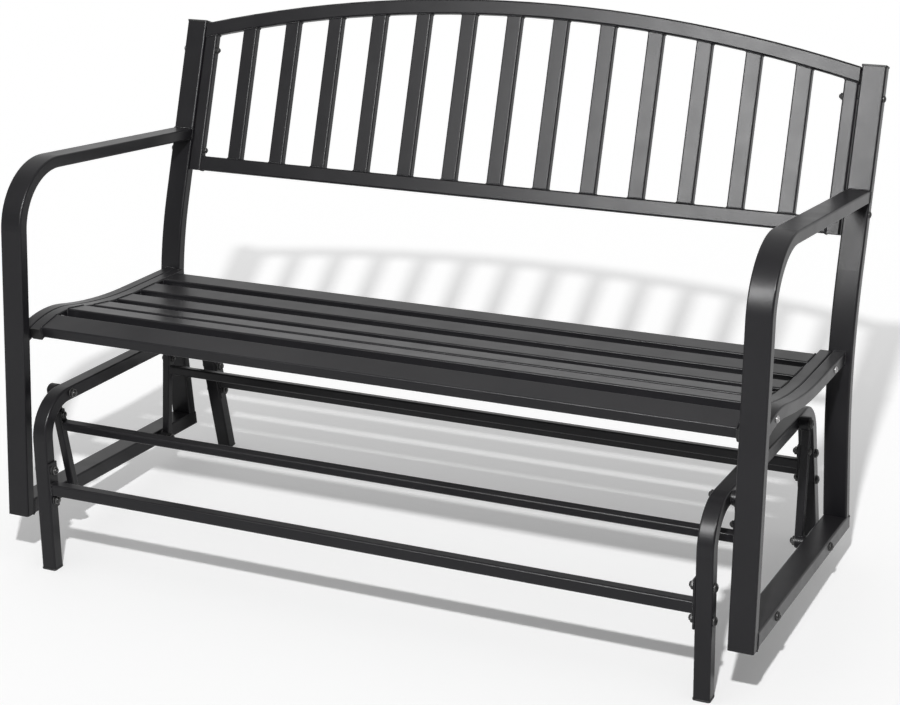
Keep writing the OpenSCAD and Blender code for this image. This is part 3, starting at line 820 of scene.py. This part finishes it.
# %% Lamps
WORLD_LEVEL = 0.38
LAMP_PLACE = Vector((1.15, -2.93, 3.25))
LAMP_POWER = 700.0
LAMP_RADIUS = 0.075
BACK_SHINE = {"place": (-0.76, -2.9, 2.38), "target": (0.40, 0.3, 0.7),
              "size": (0.62, 1.35), "power": 94.0}
ARM_SHINE = {"place": (-0.27, -2.9, 2.45), "target": (0.60, -0.3, 0.64),
             "size": (0.40, 0.80), "power": 31.0}
BACKDROP_EDGE = 2.5
BACKDROP_SHINE = 0.7

bulb = bpy.data.lights.new("high_lamp", "POINT")
bulb.energy, bulb.shadow_soft_size = LAMP_POWER, LAMP_RADIUS
lamp = bpy.data.objects.new("high_lamp", bulb)
lamp.location = LAMP_PLACE
bpy.context.scene.collection.objects.link(lamp)


def shine_panel(name, place, target, size, power):
    """A wide lamp that only reflections see."""
    light = bpy.data.lights.new(name, "AREA")
    light.shape, light.energy = "RECTANGLE", power
    light.size, light.size_y = size
    holder = bpy.data.objects.new(name, light)
    bpy.context.scene.collection.objects.link(holder)
    towards = Vector(target) - Vector(place)
    holder.matrix_world = (Matrix.Translation(place)
                           @ towards.to_track_quat("-Z", "Y").to_matrix().to_4x4())
    holder.visible_diffuse = False
    return holder


shine_panel("front_panel", **BACK_SHINE)
shine_panel("arm_panel", **ARM_SHINE)


def plain_world():
    """White all round to the camera, and plain soft light on the bench."""
    world = bpy.data.worlds.new("plain_world")
    bpy.context.scene.world = world
    world.use_nodes = True
    tree = world.node_tree

    def output(kind, name):
        return Term(tree, tree.nodes.new(kind).outputs[name])

    way = tree.nodes.new("ShaderNodeSeparateXYZ")
    output("ShaderNodeTexCoord", "Generated").feed(way.inputs[0])
    behind = tree.nodes.new("ShaderNodeClamp")
    (Term(tree, way.outputs["Y"]) * BACKDROP_EDGE).feed(behind.inputs["Value"])
    seen = (output("ShaderNodeLightPath", "Is Camera Ray")
            + output("ShaderNodeLightPath", "Is Transmission Ray")
            + output("ShaderNodeLightPath", "Is Glossy Ray")
            * Term(tree, behind.outputs[0]) * BACKDROP_SHINE)
    sky = tree.nodes["Background"]
    sky.inputs["Color"].default_value = (1.0, 1.0, 1.0, 1.0)
    (seen * (1.0 - WORLD_LEVEL) + WORLD_LEVEL).feed(sky.inputs["Strength"])


plain_world()
bpy.context.scene.view_settings.view_transform = "Standard"

# %% [markdown]
# ## Floor
# The bench stands on a plain white floor that fills the picture. A lamp's
# light fades with distance, so a plain floor would turn grey behind the
# bench. To the camera, reflections and glass the floor therefore glows by
# just what the lamp leaves short of white at each spot. A lamp of P watts at
# height z gives a spot at distance d the level P z / (4 pi^2 d^3). Shadows
# stay, since the glow knows nothing of the bench.

# %% Floor
FLOOR_TONE = 0.80
FLOOR_HALF = 30.0


def floor_finish():
    finish = Finish("white_floor", {"Roughness": 0.9, "Specular IOR Level": 0.0,
                                    "Base Color": grey(FLOOR_TONE)})
    place = finish.node("ShaderNodeTexCoord", out="Object")
    apart = [finish.node("ShaderNodeSeparateXYZ", None, {"Vector": place}, out=axis)
             - LAMP_PLACE[axis] for axis in (0, 1)]
    square = apart[0] * apart[0] + apart[1] * apart[1] + LAMP_PLACE.z ** 2
    reach = LAMP_POWER * LAMP_PLACE.z / (4 * math.pi ** 2)
    lit = FLOOR_TONE * (WORLD_LEVEL + reach * square ** -1.5)
    missing = finish.node("ShaderNodeClamp", None, {"Value": 1.0 - lit})
    rays = [finish.node("ShaderNodeLightPath", out=kind)
            for kind in ("Is Camera Ray", "Is Glossy Ray", "Is Transmission Ray")]
    glow = finish.node("ShaderNodeEmission", None,
                       {"Strength": missing * (rays[0] + rays[1] + rays[2])})
    both = finish.node("ShaderNodeAddShader", None,
                       {0: Term(finish.tree, finish.shader.outputs[0]), 1: glow})
    both.feed(finish.tree.nodes["Material Output"].inputs["Surface"])
    return finish.material


ground = bpy.data.meshes.new("floor")
ground.from_pydata([(x * FLOOR_HALF, y * FLOOR_HALF, 0.0)
                    for x, y in ((-1, -1), (1, -1), (1, 1), (-1, 1))], [], [(0, 1, 2, 3)])
ground.materials.append(floor_finish())
floor = bpy.data.objects.new("floor", ground)
bpy.context.scene.collection.objects.link(floor)
print("floor:", 2 * FLOOR_HALF, "metres wide")
